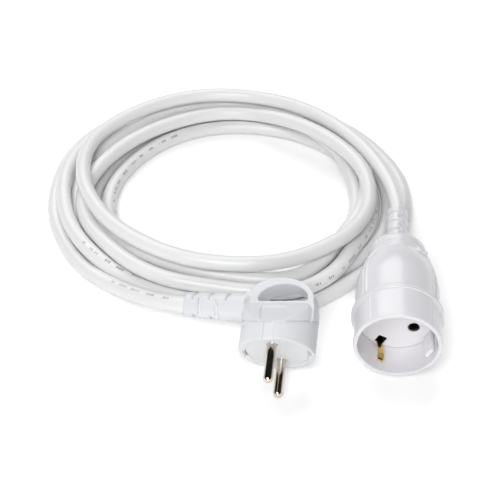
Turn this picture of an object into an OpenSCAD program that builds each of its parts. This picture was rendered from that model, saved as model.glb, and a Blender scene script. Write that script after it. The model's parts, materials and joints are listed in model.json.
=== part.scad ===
// Extension cord: an angled plug with a finger ring, a coiled round cord and an inline coupling.
// Millimetres, +Z up. The cord, the plug and the coupling all lie on the plane z = 0.
// The origin is the bottom centre of the box round the plug and the coupling.

/* [Cord] */
// Diameter of the round sheath
cord_d = 8.5; // [8:0.1:8.7]
// Diameter of one insulated core
core_d = 2.8; // [2.2:0.1:3]

/* [Pins and contacts] */
// Diameter of a plug pin
pin_d = 4.8; // [4:0.1:5]
// Length of a pin in front of the plug's face
pin_l = 19; // [17:0.5:19.5]
// Distance between the two pins' axes
pin_pitch = 19; // [18:0.5:20]
// Radial clearance between a pin and its sleeve
sleeve_gap = 0.02; // [0.01:0.01:0.05]
// Wall of a contact sleeve
sleeve_wall = 0.7; // [0.5:0.1:1]
// Thickness of the brass earth straps
strap_t = 0.8; // [0.6:0.1:1]

/* [Plug] */
// Diameter of the collar round the plug's face
plug_d = 38; // [36:0.5:38.5]
// Depth of the body behind the face, without the ring
body_h = 26; // [25:0.5:28]
// Distance of the finger ring's outer edge behind the face
ring_h = 38.8; // [37:0.1:40]
// Thickness of the finger ring's band
ring_t = 3.5; // [3:0.1:4.5]
// Width of the finger ring's band
ring_w = 12; // [9:0.5:14]
// Distance from the plug's axis to the end of its boot
boot_reach = 51; // [48:0.5:54]
// Diameter of the boot's root
boot_d1 = 15; // [14:0.5:16]
// Diameter of the boot's end
boot_d2 = 13; // [12:0.5:13.5]
// Number of slots along the back of the boot
boot_slots = 3; // [2:1:4]
// Angle by which the boot leans back
boot_lean = 3.5; // [0:0.5:4]

/* [Coupling] */
// Diameter of the round socket recess
recess_d = 39; // [38.5:0.5:40]
// Depth of the socket recess
recess_h = 17.5; // [17:0.5:18.5]
// Wall of the mouth's rim
rim_wall = 2.2; // [1.8:0.1:3]
// Rise of the belt over the rim
belt_rise = 1.3; // [0.8:0.1:2]
// Distance of the belt behind the mouth
belt_z = 19.5; // [18:0.5:22]
// Diameter of the bell's narrow end
neck_d = 28; // [26:0.5:30]
// Length of the bell
bell_l = 62; // [60:0.5:66]
// Diameter of the flange behind the bell
flange_d = 30.4; // [29:0.2:32]
// Thickness of the flange
flange_t = 6.5; // [5:0.5:8]
// Diameter of the coupling's boot
tail_d = 12; // [11.5:0.1:13]
// Length of the coupling's boot
tail_l = 32; // [28:0.5:34]
// Number of ribs on the coupling's boot
tail_ribs = 7; // [5:1:9]
// Angle of the pin line below the level at the right, seen into the mouth
socket_turn = 26; // [0:1:90]

/* [Hidden] */

eps = 0.01;
gap = 0.2;                                     // between mouldings and what they hold
sheath_in = 20;                                // length of the sheath held in a boot
boot_z = 23.9;                                 // where the boot's axis meets the plug's
tail_end = bell_l + flange_t + tail_l;         // the coupling's length
sheath_end = tail_end - sheath_in - 4;

// Colours
pvc_white = [0.93, 0.93, 0.94];
plug_white = [0.86, 0.87, 0.89];
shell_white = [0.9, 0.9, 0.93];
nickel = [0.78, 0.77, 0.74];
brass = [0.8, 0.66, 0.38];
brown = [0.42, 0.26, 0.16];
blue = [0.2, 0.4, 0.75];
earth_green = [0.45, 0.68, 0.2];

// ---- Where the plug lies: its face looks along -Y and down, its boot points left ----
plug_pitch = 20;
plug_roll = 13;
plug_at = [-14.7, -43.6, plug_d / 2 * cos(plug_pitch) + 0.1];

// ---- Where the coupling lies: on its belt, its mouth towards -Y ----
coupling_turn = 1.8;
recess_r = recess_d / 2;
rim_r = recess_r + rim_wall;
belt_r = rim_r + belt_rise;
coupling_at = [43.3, -35.8, belt_r];

module at_plug()
    translate(plug_at) rotate([plug_pitch - 90, 0, 0]) rotate([0, 0, 180 - plug_roll]) children();

module at_coupling()
    translate(coupling_at) rotate([0, 0, coupling_turn]) rotate([-90, 0, 0]) children();

// The boot's frame: local Z runs along the boot from the plug's axis
module at_boot() translate([0, 0, boot_z]) rotate([0, 90 - boot_lean, 0]) children();

function boot_point(p) = [p[2] * cos(boot_lean) + p[0] * sin(boot_lean), p[1],
    boot_z + p[2] * sin(boot_lean) - p[0] * cos(boot_lean)];
function about_x(p, a) = [p[0], p[1] * cos(a) - p[2] * sin(a), p[1] * sin(a) + p[2] * cos(a)];
function about_z(p, a) = [p[0] * cos(a) - p[1] * sin(a), p[0] * sin(a) + p[1] * cos(a), p[2]];
function plug_point(p) = plug_at + about_x(about_z(p, 180 - plug_roll), plug_pitch - 90);
function coupling_point(p) = coupling_at + about_z(about_x(p, -90), coupling_turn);

// ---- The coil ----
// One row per turn, a pair [radius, height] every 15 degrees from the plug's side, clockwise
// from above. The first turn starts at the plug's boot and the last ends at the coupling's boot.
coil_at = [-55.4, 89.2];
step = 15;
first_step = 2;
turns = [
    [[99.2, 6.2], [101.2, 4.3], [102, 4.3], [103.5, 4.3], [104.5, 4.3], [106.5, 4.3],
     [106, 4.3], [103, 4.3], [100.5, 4.3], [98.8, 4.3], [97.8, 4.3], [97, 4.3],
     [96.8, 4.3], [97.5, 4.3], [98.8, 4.3], [101, 4.3], [101, 4.3], [101.3, 4.3],
     [98.6, 4.3], [96.5, 4.3], [98.2, 4.3], [94, 4.3]],
    [[89.3, 4.3], [88.3, 4.3], [89.8, 4.8], [94.4, 10.6], [96.6, 12.3], [97.5, 12.4],
     [99.3, 12.4], [100, 11.5], [97.2, 7.6], [93.3, 4.3], [91.2, 4.3], [89.6, 4.3],
     [88.6, 4.3], [89, 9.2], [88.5, 12.2], [84.5, 13.4], [82.3, 13.4], [79.5, 13.4],
     [77.8, 12.4], [75.9, 13.1], [76, 13.3], [81.3, 12.6], [84.5, 12.5], [79.2, 12.6]],
    [[75.3, 12.4], [74.6, 12.3], [75.9, 12.4], [78.2, 8.7], [82, 4.3], [82, 4.3],
     [80.9, 4.3], [79, 4.3], [78.1, 4.3], [78.2, 4.3], [78.5, 4.3], [79.1, 4.3],
     [79.5, 4.3], [81.1, 4.3], [83.3, 4.3], [85.9, 4.3], [89.3, 4.3], [91.7, 4.3],
     [91.7, 4.3], [91.9, 4.3], [89.2, 4.3], [87.3, 4.3], [88.6, 4.3], [84.2, 4.3]],
    [[79.9, 4.3], [79.2, 4.3], [80.5, 4.3], [86.7, 4.3], [91.7, 4.3], [92, 4.5],
     [91.3, 5.7], [88.3, 10.3], [84.9, 11], [84.2, 12], [84.2, 12.4], [83.8, 12.6],
     [82.3, 12.9], [77.6, 13.5], [73.5, 13.4], [72.4, 12.9], [72.6, 10.5], [72.7, 7],
     [73, 4.3], [73, 4.3], [74.3, 4.3], [77, 4.3], [79.1, 4.3], [74.6, 4.3]],
    [[70.7, 4.3], [70.1, 4.3], [70.8, 4.3], [70.2, 4.3], [72.4, 4.3], [72.7, 4.3],
     [71.6, 4.3], [69.8, 4.3], [68.9, 4.3], [69, 4.3], [69.3, 4.3], [69.8, 4.3],
     [70.3, 4.3], [71.7, 4.3], [73.9, 4.3], [76.5, 4.3], [79.8, 4.3], [82.4, 4.3],
     [82.4, 4.3], [83.3, 7.6], [85.2, 12.8], [91.6, 12.6], [94.4, 12.7], [88.8, 12.7]],
    [[84.6, 12.8], [86, 13.4], [85.8, 13.2], [85.8, 14], [87.3, 12.6], [86.8, 12.8],
     [82.4, 13.5], [78, 13.5], [75.1, 13.2], [73.6, 12.8], [73, 12.8], [73, 13],
     [72.6, 13.1], [68.4, 16.5], [66, 19.5], [67.3, 20.5], [70.6, 20.5], [74.9, 21.5],
     [79, 21.5], [82.2, 21.5], [82.8, 21.9], [80.8, 21.8], [79.3, 21.3], [77.5, 21.7]],
    [[76, 21.6], [75.8, 21.5], [76, 21.5], [78, 21.5], [80.8, 21.5], [84.5, 21.8],
     [88, 21.5], [90.5, 20.6], [88.4, 20.6], [86, 20.9], [83.2, 21.6], [81.2, 21.6],
     [79.2, 21.6], [77.4, 22.6], [77.5, 22.4], [78.8, 21.6], [80.3, 22.5], [84.6, 22.6],
     [91.3, 23]],
];

function flat(rows) = [for (row = rows) for (p = row) p];
function coil_point(i, p) =
    [coil_at[0] - p[0] * sin(step * i), coil_at[1] - p[0] * cos(step * i), p[1]];

plug_hold = plug_point(boot_point([0, 0, boot_reach - sheath_in]));
plug_lead = plug_point(boot_point([0, 0, boot_reach + cord_d]));
coupling_hold = coupling_point([0, 0, sheath_end]);
coupling_lead = coupling_point([0, 0, tail_end + cord_d]);
lead_point = [-84.7, -7.8, 11];                    // between the plug's boot and the first turn
pairs = flat(turns);
route = concat(
    [plug_hold, plug_lead, lead_point],
    [for (i = [0:len(pairs) - 1]) coil_point(i + first_step, pairs[i])],
    [coupling_lead, coupling_hold]);

last = len(route) - 1;

// Least gap of the cord to itself: each route point against each stretch half a turn or more away
function to_stretch(p, a, b) =
    let (t = max(0, min(1, (p - a) * (b - a) / ((b - a) * (b - a))))) norm(p - a - t * (b - a));
apart = 4;
self_gap = min([for (i = [0:last]) for (j = [0:last - 1])
    if (abs(i - j) > apart && abs(i - j - 1) > apart)
        to_stretch(route[i], route[j], route[j + 1])]) - cord_d;
function run(i) = i == 0 ? 0 : norm(route[i] - route[i - 1]) + run(i - 1);
echo(least_gap_of_cord_to_itself = self_gap, length_of_cord = run(last));

// A tube swept along points: a ring square to the way at each point, turned so that one corner
// lies in the plane of the way and side_on
function unit(v) = v / norm(v);
function way(p, i) = i == 0 ? unit(p[1] - p[0])
    : i == len(p) - 1 ? unit(p[i] - p[i - 1])
    : unit(unit(p[i + 1] - p[i]) + unit(p[i] - p[i - 1]));
module tube(p, d, sides, side_on) {
    end = len(p) - 1;
    points = [for (i = [0:end]) let (w = way(p, i), a = unit(cross(w, side_on)), b = cross(a, w))
        for (k = [0:sides - 1]) p[i] + d / 2 * (sin(360 * k / sides) * a - cos(360 * k / sides) * b)];
    function at(i, k) = i * sides + k % sides;
    polyhedron(points = points, faces = concat(
        [for (k = [1:sides - 2]) [at(0, 0), at(0, k + 1), at(0, k)]],
        [for (i = [0:end - 1]) for (k = [0:sides - 1]) each [
            [at(i, k), at(i + 1, k + 1), at(i + 1, k)],
            [at(i, k), at(i, k + 1), at(i + 1, k + 1)]]],
        [for (k = [1:sides - 2]) [at(end, 0), at(end, k), at(end, k + 1)]]));
}

cord_sides = 6;
module cord_sheath() color(pvc_white) tube(route, cord_d, cord_sides, [0, 0, 1]);

// ---- Plug: local X towards the boot's end, Y along the pin line, Z away from the face ----
collar_r = plug_d / 2;
core_r = collar_r - 0.8;                       // body behind the collar's rear edge
collar_rear = 17;                              // collar's rear edge at the level of the axis
collar_slant = 0.44;                           // it comes forward by this much per mm of Y
roof_low = [core_r, 9];                        // the sloping roofs: [Y, Z] at their front
roof_high = [5.3, body_h - 0.2];               // and at their back
corner_r = 10;                                 // the body's round corner away from the boot
groove_w = 5.5;                                // guide grooves at both ends of the pin line
groove_d = 1.6;
bridge_r = 15.4;                               // the hard disc that carries the pins
bridge_h = 7;
bridge_set = 0.6;                              // it sits this far behind the collar's edge
clip_w = 6.5;                                  // earth contacts at both sides of the face
clip_x = bridge_r + gap + 0.3;
strap_lip = 0.4;                               // the legs end this far behind the face
pin_x = pin_pitch / 2;
pin_r = pin_d / 2;
pin_fit = 0.05;
shoulder_r = pin_r + 0.3;
stub_r = 1.5;                                  // a pin's tail behind the bridge
ferrule_r = 1.9;
ferrule_l = 2.2;
core_sides = 8;
bore_r = cord_d / 2 + gap;
core_ring = 1.9;                               // the cores' axes round the cord's axis
spread = core_d / 2 + gap;
core_passage = core_ring + spread;
core_y = core_ring * cos(30);                  // live and neutral at both sides of the earth core
core_up = core_ring * sin(30);
boot_root = collar_r - 3;
floor_z = bridge_set + bridge_h;               // behind the bridge
stub_end = floor_z + 1.6;
strap_back = floor_z + gap + strap_t;          // back of the earth strap's crossbar
strap_x = clip_x + strap_t;                    // outer side of the earth strap's legs
room_x = 12;                                   // half the room behind the bridge
room_y = pin_x + ferrule_r + gap;
room_mid = 7.9;
room_end = 4.9;
room_z = 7;                                    // heights of its first two steps
mid_z = 12;
arch_x = 17.6;                                 // half width of the ring's arch
arch_z = 27;                                   // its springing behind the face
arch_off = 0.3;                                // its middle beside the plug's axis
hole_x = 12.8;                                 // half width of the finger hole
hole_off = -1.5;                               // its middle beside the plug's axis
rest_w = 14;                                   // thumb rests in the sloping roofs
rest_l = 16;
rest_d = 0.7;
rest_r = 1.6;

module across_y(w) rotate([90, 0, 0]) translate([0, 0, -w / 2]) linear_extrude(w) children();
module across_x(w) rotate([90, 0, 90]) translate([0, 0, -w / 2]) linear_extrude(w) children();

function half_ellipse(x, z, across, up) =
    [for (a = [0:5:180]) [x + across * cos(a), z + up * sin(a)]];

module arch() polygon(concat(half_ellipse(arch_off, arch_z, arch_x, ring_h - arch_z),
    [[-collar_r, collar_rear], [-collar_r, collar_rear - 8], [collar_r - 4, collar_rear - 8]]));

module finger_hole() across_y(2 * collar_r) polygon(concat(
    half_ellipse(hole_off, arch_z, hole_x, ring_h - ring_t - arch_z),
    [[hole_off - hole_x + 0.8, body_h], [hole_off + hole_x - 0.8, body_h]]));

module collar_shape() intersection() {
    difference() {
        cylinder(r = collar_r, h = collar_rear + 1, $fn = 128);
        for (s = [-1, 1]) translate([-groove_w / 2, s * collar_r - groove_d, -eps])
            cube([groove_w, 2 * groove_d, collar_rear + 2]);
    }
    across_x(2 * plug_d) polygon([[-collar_r, 0], [collar_r, 0],
        [collar_r, collar_rear - collar_slant * collar_r], [0, collar_rear],
        [-collar_r, collar_rear - collar_slant * collar_r]]);
}

module core_shape() intersection() {
    cylinder(r = core_r, h = body_h, $fn = 128);
    across_x(2 * plug_d) polygon([[-core_r, 1], [core_r, 1], roof_low, roof_high,
        [roof_high[0] - 1, body_h], [1 - roof_high[0], body_h],
        [-roof_high[0], roof_high[1]], [-roof_low[0], roof_low[1]]]);
    across_y(2 * plug_d) union() {
        translate([corner_r - core_r, 0]) square([2 * core_r, body_h]);
        translate([-core_r, 0]) square([2 * corner_r, body_h - corner_r]);
        translate([corner_r - core_r, body_h - corner_r]) circle(r = corner_r, $fn = 96);
    }
}

module ring_shape() intersection() {
    across_y(ring_w) arch();
    union() {
        cylinder(r = collar_r, h = ring_h + 1, $fn = 128);
        translate([0, 0, ring_h / 2]) cube([2 * arch_x - 2, ring_w, ring_h + 2], center = true);
    }
}

// A slot with round ends, square to local Z, with its length along local Y
module round_slot(w, l, h) {
    translate([-w / 2, -(l - w) / 2, 0]) cube([w, l - w, h]);
    for (s = [-1, 1]) translate([0, s * (l - w) / 2, 0]) cylinder(d = w, h = h, $fn = 32);
}

boot_pitch = 8.7;
first_slot = collar_r + 8.8;
slot_w = 2.2;
slot_l = 9;
slot_d = 1.6;
function boot_r(z) = boot_d1 / 2 - (boot_d1 - boot_d2) / 2 * (z - boot_root) / (boot_reach - boot_root);

module boot_shape() at_boot() difference() {
    union() {
        translate([0, 0, boot_root])
            cylinder(d1 = boot_d1, d2 = boot_d2, h = boot_reach - boot_root - 1, $fn = 64);
        translate([0, 0, boot_reach - 1]) cylinder(d1 = boot_d2, d2 = boot_d2 - 1.6, h = 1, $fn = 64);
    }
    for (i = [0:boot_slots - 1]) {
        z = first_slot + i * boot_pitch;
        for (s = [-1, 1]) translate([s * (boot_r(z) + 1), 0, z])
            cube([2 * (slot_d + 1), slot_l, slot_w], center = true);
        if (i < boot_slots - 1) for (s = [-1, 1]) let (mid = z + 0.62 * boot_pitch)
            translate([0, s * (boot_r(mid) - slot_d), mid]) rotate([-s * 90, 0, 0]) rotate([0, 0, 90])
                round_slot(slot_w - 0.2, slot_l, 4);
    }
    // the moulding mark beside the body
    translate([0, boot_r(mark_z) - 0.4, mark_z]) rotate([-90, 0, 0]) difference() {
        cylinder(r = mark_r, h = 2, $fn = 32);
        translate([0, 0, -1]) cylinder(r = mark_r - 0.5, h = 4, $fn = 32);
    }
}
mark_z = collar_r + 2.6;
mark_r = 1.3;

// A thumb rest is sunk into each sloping roof, with round corners at its back
module thumb_rest(s) {
    lean = atan2(roof_low[0] - roof_high[0], roof_high[1] - roof_low[1]);
    out = 6;                                   // the cutter's reach outside the roof
    translate([0, s * roof_low[0], roof_low[1]]) rotate([s * lean, 0, 0])
        translate([0, s * (out / 2 - rest_d), 0]) across_y(out) union() {
            translate([-rest_w / 2, 0]) square([rest_w, rest_l - rest_r]);
            translate([rest_r - rest_w / 2, 0]) square([rest_w - 2 * rest_r, rest_l]);
            for (x = [-1, 1]) translate([x * (rest_w / 2 - rest_r), rest_l - rest_r])
                circle(r = rest_r, $fn = 32);
        }
}

module plug_body() color(plug_white) at_plug() difference() {
    union() {
        collar_shape();
        core_shape();
        ring_shape();
        boot_shape();
    }
    finger_hole();
    for (s = [-1, 1]) thumb_rest(s);
    translate([0, 0, -eps]) cylinder(r = bridge_r + gap, h = floor_z + eps, $fn = 128);
    // a channel for the earth strap, with a slot for each of its legs
    translate([-strap_x - gap, -clip_w / 2 - gap, floor_z - eps])
        cube([2 * (strap_x + gap), clip_w + 2 * gap, strap_t + 2 * gap]);
    for (s = [-1, 1]) translate([s * (strap_x - strap_t / 2), 0, floor_z / 2])
        cube([strap_t + 2 * gap, clip_w + 2 * gap, floor_z + 2 * eps], center = true);
    // space for the cores, in three steps from the bridge up to the boot
    translate([-room_x, -room_y, floor_z - eps]) cube([2 * room_x, 2 * room_y, room_z]);
    translate([-room_x / 3, -room_mid, floor_z]) cube([4 / 3 * room_x + 1, 2 * room_mid, mid_z]);
    translate([0.9 * room_x, -room_end, floor_z])
        cube([room_x / 2 + 2, 2 * room_end, body_h - 1 - floor_z]);
    at_boot() {
        translate([0, 0, room_x + 1]) cylinder(r = core_passage, h = boot_reach, $fn = 48);
        translate([0, 0, boot_reach - sheath_in]) cylinder(r = bore_r, h = boot_reach, $fn = 48);
    }
}

module plug_bridge() color(plug_white) at_plug() difference() {
    translate([0, 0, bridge_set]) cylinder(r = bridge_r, h = bridge_h, $fn = 128);
    for (s = [-1, 1]) translate([0, s * pin_x, -eps])
        cylinder(r = shoulder_r + pin_fit, h = floor_z + 1, $fn = 64);
}

// A pin stands at [0, side * pin_x]: its shoulder fills the bridge's hole, its stub takes the core
module pin(side) at_plug() translate([0, side * pin_x, 0]) {
    translate([0, 0, pin_r - pin_l]) cylinder(r = pin_r, h = pin_l - pin_r + floor_z, $fn = 64);
    translate([0, 0, bridge_set]) cylinder(r = shoulder_r, h = bridge_h, $fn = 64);
    translate([0, 0, pin_r - pin_l]) sphere(r = pin_r, $fn = 64);
    translate([0, 0, floor_z - eps]) cylinder(r = stub_r, h = stub_end - floor_z + eps, $fn = 32);
}

module plug_pin_live() color(nickel) pin(1);
module plug_pin_neutral() color(nickel) pin(-1);

module plug_earth_strap() color(brass) at_plug() {
    for (s = [-1, 1]) translate([s * (strap_x - strap_t / 2), 0, (strap_back + strap_lip) / 2])
        cube([strap_t, clip_w, strap_back - strap_lip], center = true);
    translate([0, 0, strap_back - strap_t / 2]) cube([2 * clip_x + eps, clip_w, strap_t], center = true);
}

plug_live = [0, pin_x, stub_end];
plug_neutral = [0, -pin_x, stub_end];
plug_earth = [4, 0, strap_back];
module plug_crimps() color(nickel) at_plug()
    for (p = [plug_live, plug_neutral, plug_earth])
        translate(p) cylinder(r = ferrule_r, h = ferrule_l, $fn = 32);

// Each core runs from the sheath's end down into the body and turns to its ferrule
core_bend = core_d / 2 + 0.1;                  // a core runs straight for this much at its ferrule
module plug_core(side) at_plug() tube([
    boot_point([-core_up, side * core_y, boot_reach - sheath_in]),
    boot_point([-core_up, side * core_y, room_x + 5]),
    [room_x + 1, side * 3, boot_z - 6],
    [4, side * (pin_x - 2), stub_end + ferrule_l + core_bend + 0.2],
    [0, side * pin_x, stub_end + ferrule_l + core_bend],
    [0, side * pin_x, stub_end + ferrule_l]], core_d, core_sides, [0, 1, 0]);
module plug_core_live() color(brown) plug_core(1);
module plug_core_neutral() color(blue) plug_core(-1);
module plug_core_earth() color(earth_green) at_plug() tube([
    boot_point([core_ring, 0, boot_reach - sheath_in]),
    boot_point([core_ring, 0, room_x + 6]),
    [room_x, 0, boot_z / 2 + 2.5],
    [plug_earth[0], 0, strap_back + ferrule_l + core_bend],
    [plug_earth[0], 0, strap_back + ferrule_l]], core_d, core_sides, [0, 1, 0]);

// ---- Coupling: local Z from the mouth backwards, pin line along X after the socket's turn ----
neck_r = neck_d / 2;
bell_r = belt_r - 1.2;
bell_start = 36;
neck_rise = 1.2;                               // the bell's rear edge over the neck
belt_w = 2.2;
belt_low = belt_z - belt_w / 2;
belt_high = belt_z + belt_w / 2;
belt_foot = rim_r + 0.5;                       // sleeve in front of the belt
rim_nicks = [45, 67, 137];                     // from the right, turning downwards
nick_w = 1.8;
nick_d = 0.7;
back_room = 16;                                // space behind the insert, up to where it narrows
back_cone = 12;
insert_seat = 1.6;                             // step that the insert rests on
mouth_r = pin_r + 0.35;                        // holes in the recess floor
insert_h = 12;
insert_r = recess_r + 0.1;
insert_end = recess_h + insert_h;
sleeve_r = pin_r + sleeve_gap;
sleeve_or = sleeve_r + sleeve_wall;
sleeve_start = recess_h + 1.6;
sleeve_depth = 20;
sleeve_back = 3;
sleeve_end = sleeve_start + sleeve_depth + sleeve_back;
root_r = 9.2;
root_z = bell_l - 6;
spring_y = 17;
spring_w = 3.6;
spring_start = 4.2;
spring_bend = 1.4;                             // how far a leaf spring bends inwards
rib_w = 6;
rib_d = 2.4;
rib_start = 4.5;
spring_z = 10.5;                               // height of that bend
spring_slot = 5;                               // opening in the recess floor at each spring
spring_hole = spring_y + 1.6 - spring_slot / 2;
tail_r = tail_d / 2;

pocket_d = 0.6;                                // the grip pockets at both sides
front_pocket = 93;                             // their angles round the axis
rear_pocket = 78;
front_start = 1.8;
rear_end = bell_l - 5;

function bell_radius(z) = neck_r + neck_rise + (bell_r - neck_r - neck_rise)
    * cos(90 * max(0, z - bell_start) / (bell_l - bell_start));
function front_radius(z) = rim_r + (belt_foot - rim_r) * (z - 1) / (belt_z - 1);

// A pocket cut into the side of the shell: outline is its floor as [radius, z]
module side_pocket(outline, angle) {
    far = belt_r + 5;
    for (side = [0, 180]) rotate([0, 0, side - angle / 2]) rotate_extrude(angle = angle, $fn = 160)
        polygon(concat(outline, [[far, outline[len(outline) - 1][1]], [far, outline[0][1]]]));
}

module coupling_shell() color(shell_white) at_coupling() difference() {
    rotate_extrude($fn = 160) polygon(concat(
        [[0, bell_l], [0, 0.6], [rim_r - 1.4, 0], [rim_r - 0.5, 0.3], [rim_r, 1]],
        [[belt_foot, belt_low - 0.5], [belt_r - 0.2, belt_low], [belt_r, belt_low + 0.3]],
        [[belt_r, belt_high - 0.3], [belt_r - 0.2, belt_high], [bell_r + 0.1, belt_high + 0.6]],
        [for (z = [belt_z + 4, bell_start]) [bell_r, z]],
        [for (i = [1:12]) let (z = bell_start + (bell_l - bell_start) * i / 12) [bell_radius(z), z]]));
    side_pocket([for (z = [front_start, belt_low - 0.6]) [front_radius(z) - pocket_d, z]], front_pocket);
    side_pocket(concat([[bell_r - pocket_d, belt_high + 0.8]],
        [for (i = [0:8]) let (z = bell_start + (rear_end - bell_start) * i / 8)
            [bell_radius(z) - pocket_d, z]]), rear_pocket);
    for (a = rim_nicks) rotate([0, 0, a])
        translate([rim_r - nick_d, -nick_w / 2, -1]) cube([2 * belt_rise, nick_w, 2]);
    translate([0, 0, -1]) cylinder(r = recess_r, h = recess_h + 1 + eps, $fn = 160);
    translate([0, 0, recess_h]) cylinder(r = insert_r + gap, h = insert_h + gap, $fn = 160);
    translate([0, 0, insert_end]) cylinder(r = insert_r - insert_seat, h = back_room, $fn = 96);
    translate([0, 0, insert_end + back_room - eps])
        cylinder(r1 = insert_r - insert_seat, r2 = core_passage + 2, h = back_cone, $fn = 96);
    translate([0, 0, insert_end + back_room]) cylinder(r = core_passage + 1, h = bell_l, $fn = 96);
    translate([0, 0, root_z]) cylinder(r = root_r + gap, h = bell_l, $fn = 96);
}

module in_socket() at_coupling() rotate([0, 0, socket_turn]) children();

module coupling_insert() color(shell_white) in_socket() difference() {
    union() {
        translate([0, 0, recess_h]) cylinder(r = insert_r, h = insert_h, $fn = 160);
        intersection() {
            for (s = [-1, 1]) translate([s * recess_r - rib_d, -rib_w / 2, rib_start])
                cube([2 * rib_d, rib_w, recess_h - rib_start + eps]);
            cylinder(r = recess_r - gap, h = recess_h + 1, $fn = 160);
        }
    }
    for (s = [-1, 1]) {
        translate([s * pin_x, 0, 0]) cylinder(r = mouth_r, h = insert_end + 1, $fn = 64);
        translate([s * pin_x, 0, recess_h - eps])
            cylinder(r1 = mouth_r + 0.5, r2 = mouth_r, h = 0.8, $fn = 64);
        translate([s * pin_x, 0, sleeve_start - gap])
            cylinder(r = sleeve_or + gap, h = insert_h + 1, $fn = 64);
        translate([0, s * spring_hole, recess_h + insert_h / 2])
            cube([spring_w + 1, spring_slot, insert_h + 2], center = true);
    }
}

module sleeve(side) in_socket() translate([side * pin_x, 0, sleeve_start]) difference() {
    cylinder(r = sleeve_or, h = sleeve_depth + sleeve_back, $fn = 64);
    translate([0, 0, -1]) cylinder(r = sleeve_r, h = sleeve_depth + 1, $fn = 64);
}
module coupling_contact_live() color(nickel) sleeve(1);
module coupling_contact_neutral() color(nickel) sleeve(-1);

// The strap is a U whose legs are leaf springs, bent towards the plug that goes between them
module coupling_earth_strap() color(brass) in_socket() {
    leaf = [[spring_y, insert_end + gap + eps], [spring_y, recess_h - 1.5],
        [spring_y - spring_bend, spring_z], [spring_y - spring_bend / 2, spring_start + 1],
        [spring_y + 0.3, spring_start]];
    for (s = [0, 180]) rotate([0, 0, s]) across_x(spring_w) polygon(concat(leaf,
        [for (i = [len(leaf) - 1:-1:0]) leaf[i] + [strap_t, 0]]));
    translate([-spring_w / 2, -spring_y - strap_t, insert_end + gap])
        cube([spring_w, 2 * (spring_y + strap_t), strap_t]);
}

spring_back = insert_end + gap + strap_t;
coupling_live = [pin_x, 0, sleeve_end];
coupling_neutral = [-pin_x, 0, sleeve_end];
coupling_earth = [0, 2.5, spring_back];
module coupling_crimps() color(nickel) in_socket()
    for (p = [coupling_live, coupling_neutral, coupling_earth])
        translate(p) cylinder(r = ferrule_r, h = ferrule_l, $fn = 32);

module coupling_core(x, y, target) in_socket() tube([
    [x, y, sheath_end], [x, y, bell_l - 7],
    [target[0], target[1], target[2] + ferrule_l + 2], [target[0], target[1], target[2] + ferrule_l]],
    core_d, core_sides, [0, 1, 0]);
module coupling_core_live() color(brown) coupling_core(core_y, -core_up, coupling_live);
module coupling_core_neutral() color(blue) coupling_core(-core_y, -core_up, coupling_neutral);
module coupling_core_earth() color(earth_green) coupling_core(0, core_ring, coupling_earth);

module coupling_collar() color(shell_white) at_coupling() {
    flange_r = flange_d / 2;
    difference() {
        translate([0, 0, bell_l]) rotate_extrude($fn = 128) polygon([
            [tail_r + gap, 0], [flange_r - 1, 0], [flange_r - 0.3, 0.8], [flange_r, flange_t / 3],
            [flange_r, flange_t / 2], [flange_r - 0.8, flange_t - 1.3], [flange_r - 2, flange_t - 0.3],
            [flange_r - 3, flange_t], [tail_r + gap, flange_t]]);
        // a seam on one side and a latch's hollow on the other
        rotate([0, 0, seam_at]) translate([flange_r - 1, -seam_w / 2, bell_l - 1])
            cube([3, seam_w, flange_t + 2]);
        rotate([0, 0, latch_at]) translate([flange_r - 0.7, 0, bell_l + 2]) rotate([0, 90, 0])
            round_slot(2.4, 7, 3);
    }
}
seam_at = -140;
seam_w = 0.8;
latch_at = -38;

module coupling_boot() color(shell_white) at_coupling() {
    rib_pitch = (tail_l - 7) / tail_ribs;
    slot_angle = 110;
    tail_slot = 0.9;
    tail_foot = 4;                             // where the boot widens towards the flange
    difference() {
        union() {
            translate([0, 0, root_z + gap]) cylinder(r = root_r, h = bell_l - root_z - gap, $fn = 96);
            translate([0, 0, bell_l - 1]) cylinder(r = tail_r, h = tail_end - bell_l, $fn = 96);
            translate([0, 0, tail_end - 1]) cylinder(r1 = tail_r, r2 = tail_r - 0.7, h = 1, $fn = 96);
            translate([0, 0, bell_l + flange_t])
                cylinder(r1 = tail_r + 1.2, r2 = tail_r, h = tail_foot, $fn = 96);
        }
        translate([0, 0, root_z - 1]) cylinder(r = core_passage, h = tail_end, $fn = 48);
        translate([0, 0, sheath_end]) cylinder(r = bore_r, h = tail_end, $fn = 48);
        // two slots at each level, turned by a quarter from one level to the next
        for (i = [0:tail_ribs - 1]) for (side = [0, 180])
            translate([0, 0, bell_l + flange_t + tail_foot + 0.5 + i * rib_pitch])
                rotate([0, 0, side + 90 * (i % 2) - slot_angle / 2])
                    rotate_extrude(angle = slot_angle, $fn = 96)
                        translate([tail_r - tail_slot, 0]) square([2, 0.45 * rib_pitch]);
    }
}

cord_sheath();
plug_body();
plug_bridge();
plug_pin_live();
plug_pin_neutral();
plug_earth_strap();
plug_crimps();
plug_core_live();
plug_core_neutral();
plug_core_earth();
coupling_shell();
coupling_insert();
coupling_collar();
coupling_boot();
coupling_contact_live();
coupling_contact_neutral();
coupling_earth_strap();
coupling_crimps();
coupling_core_live();
coupling_core_neutral();
coupling_core_earth();
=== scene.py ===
import json
import math

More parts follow.
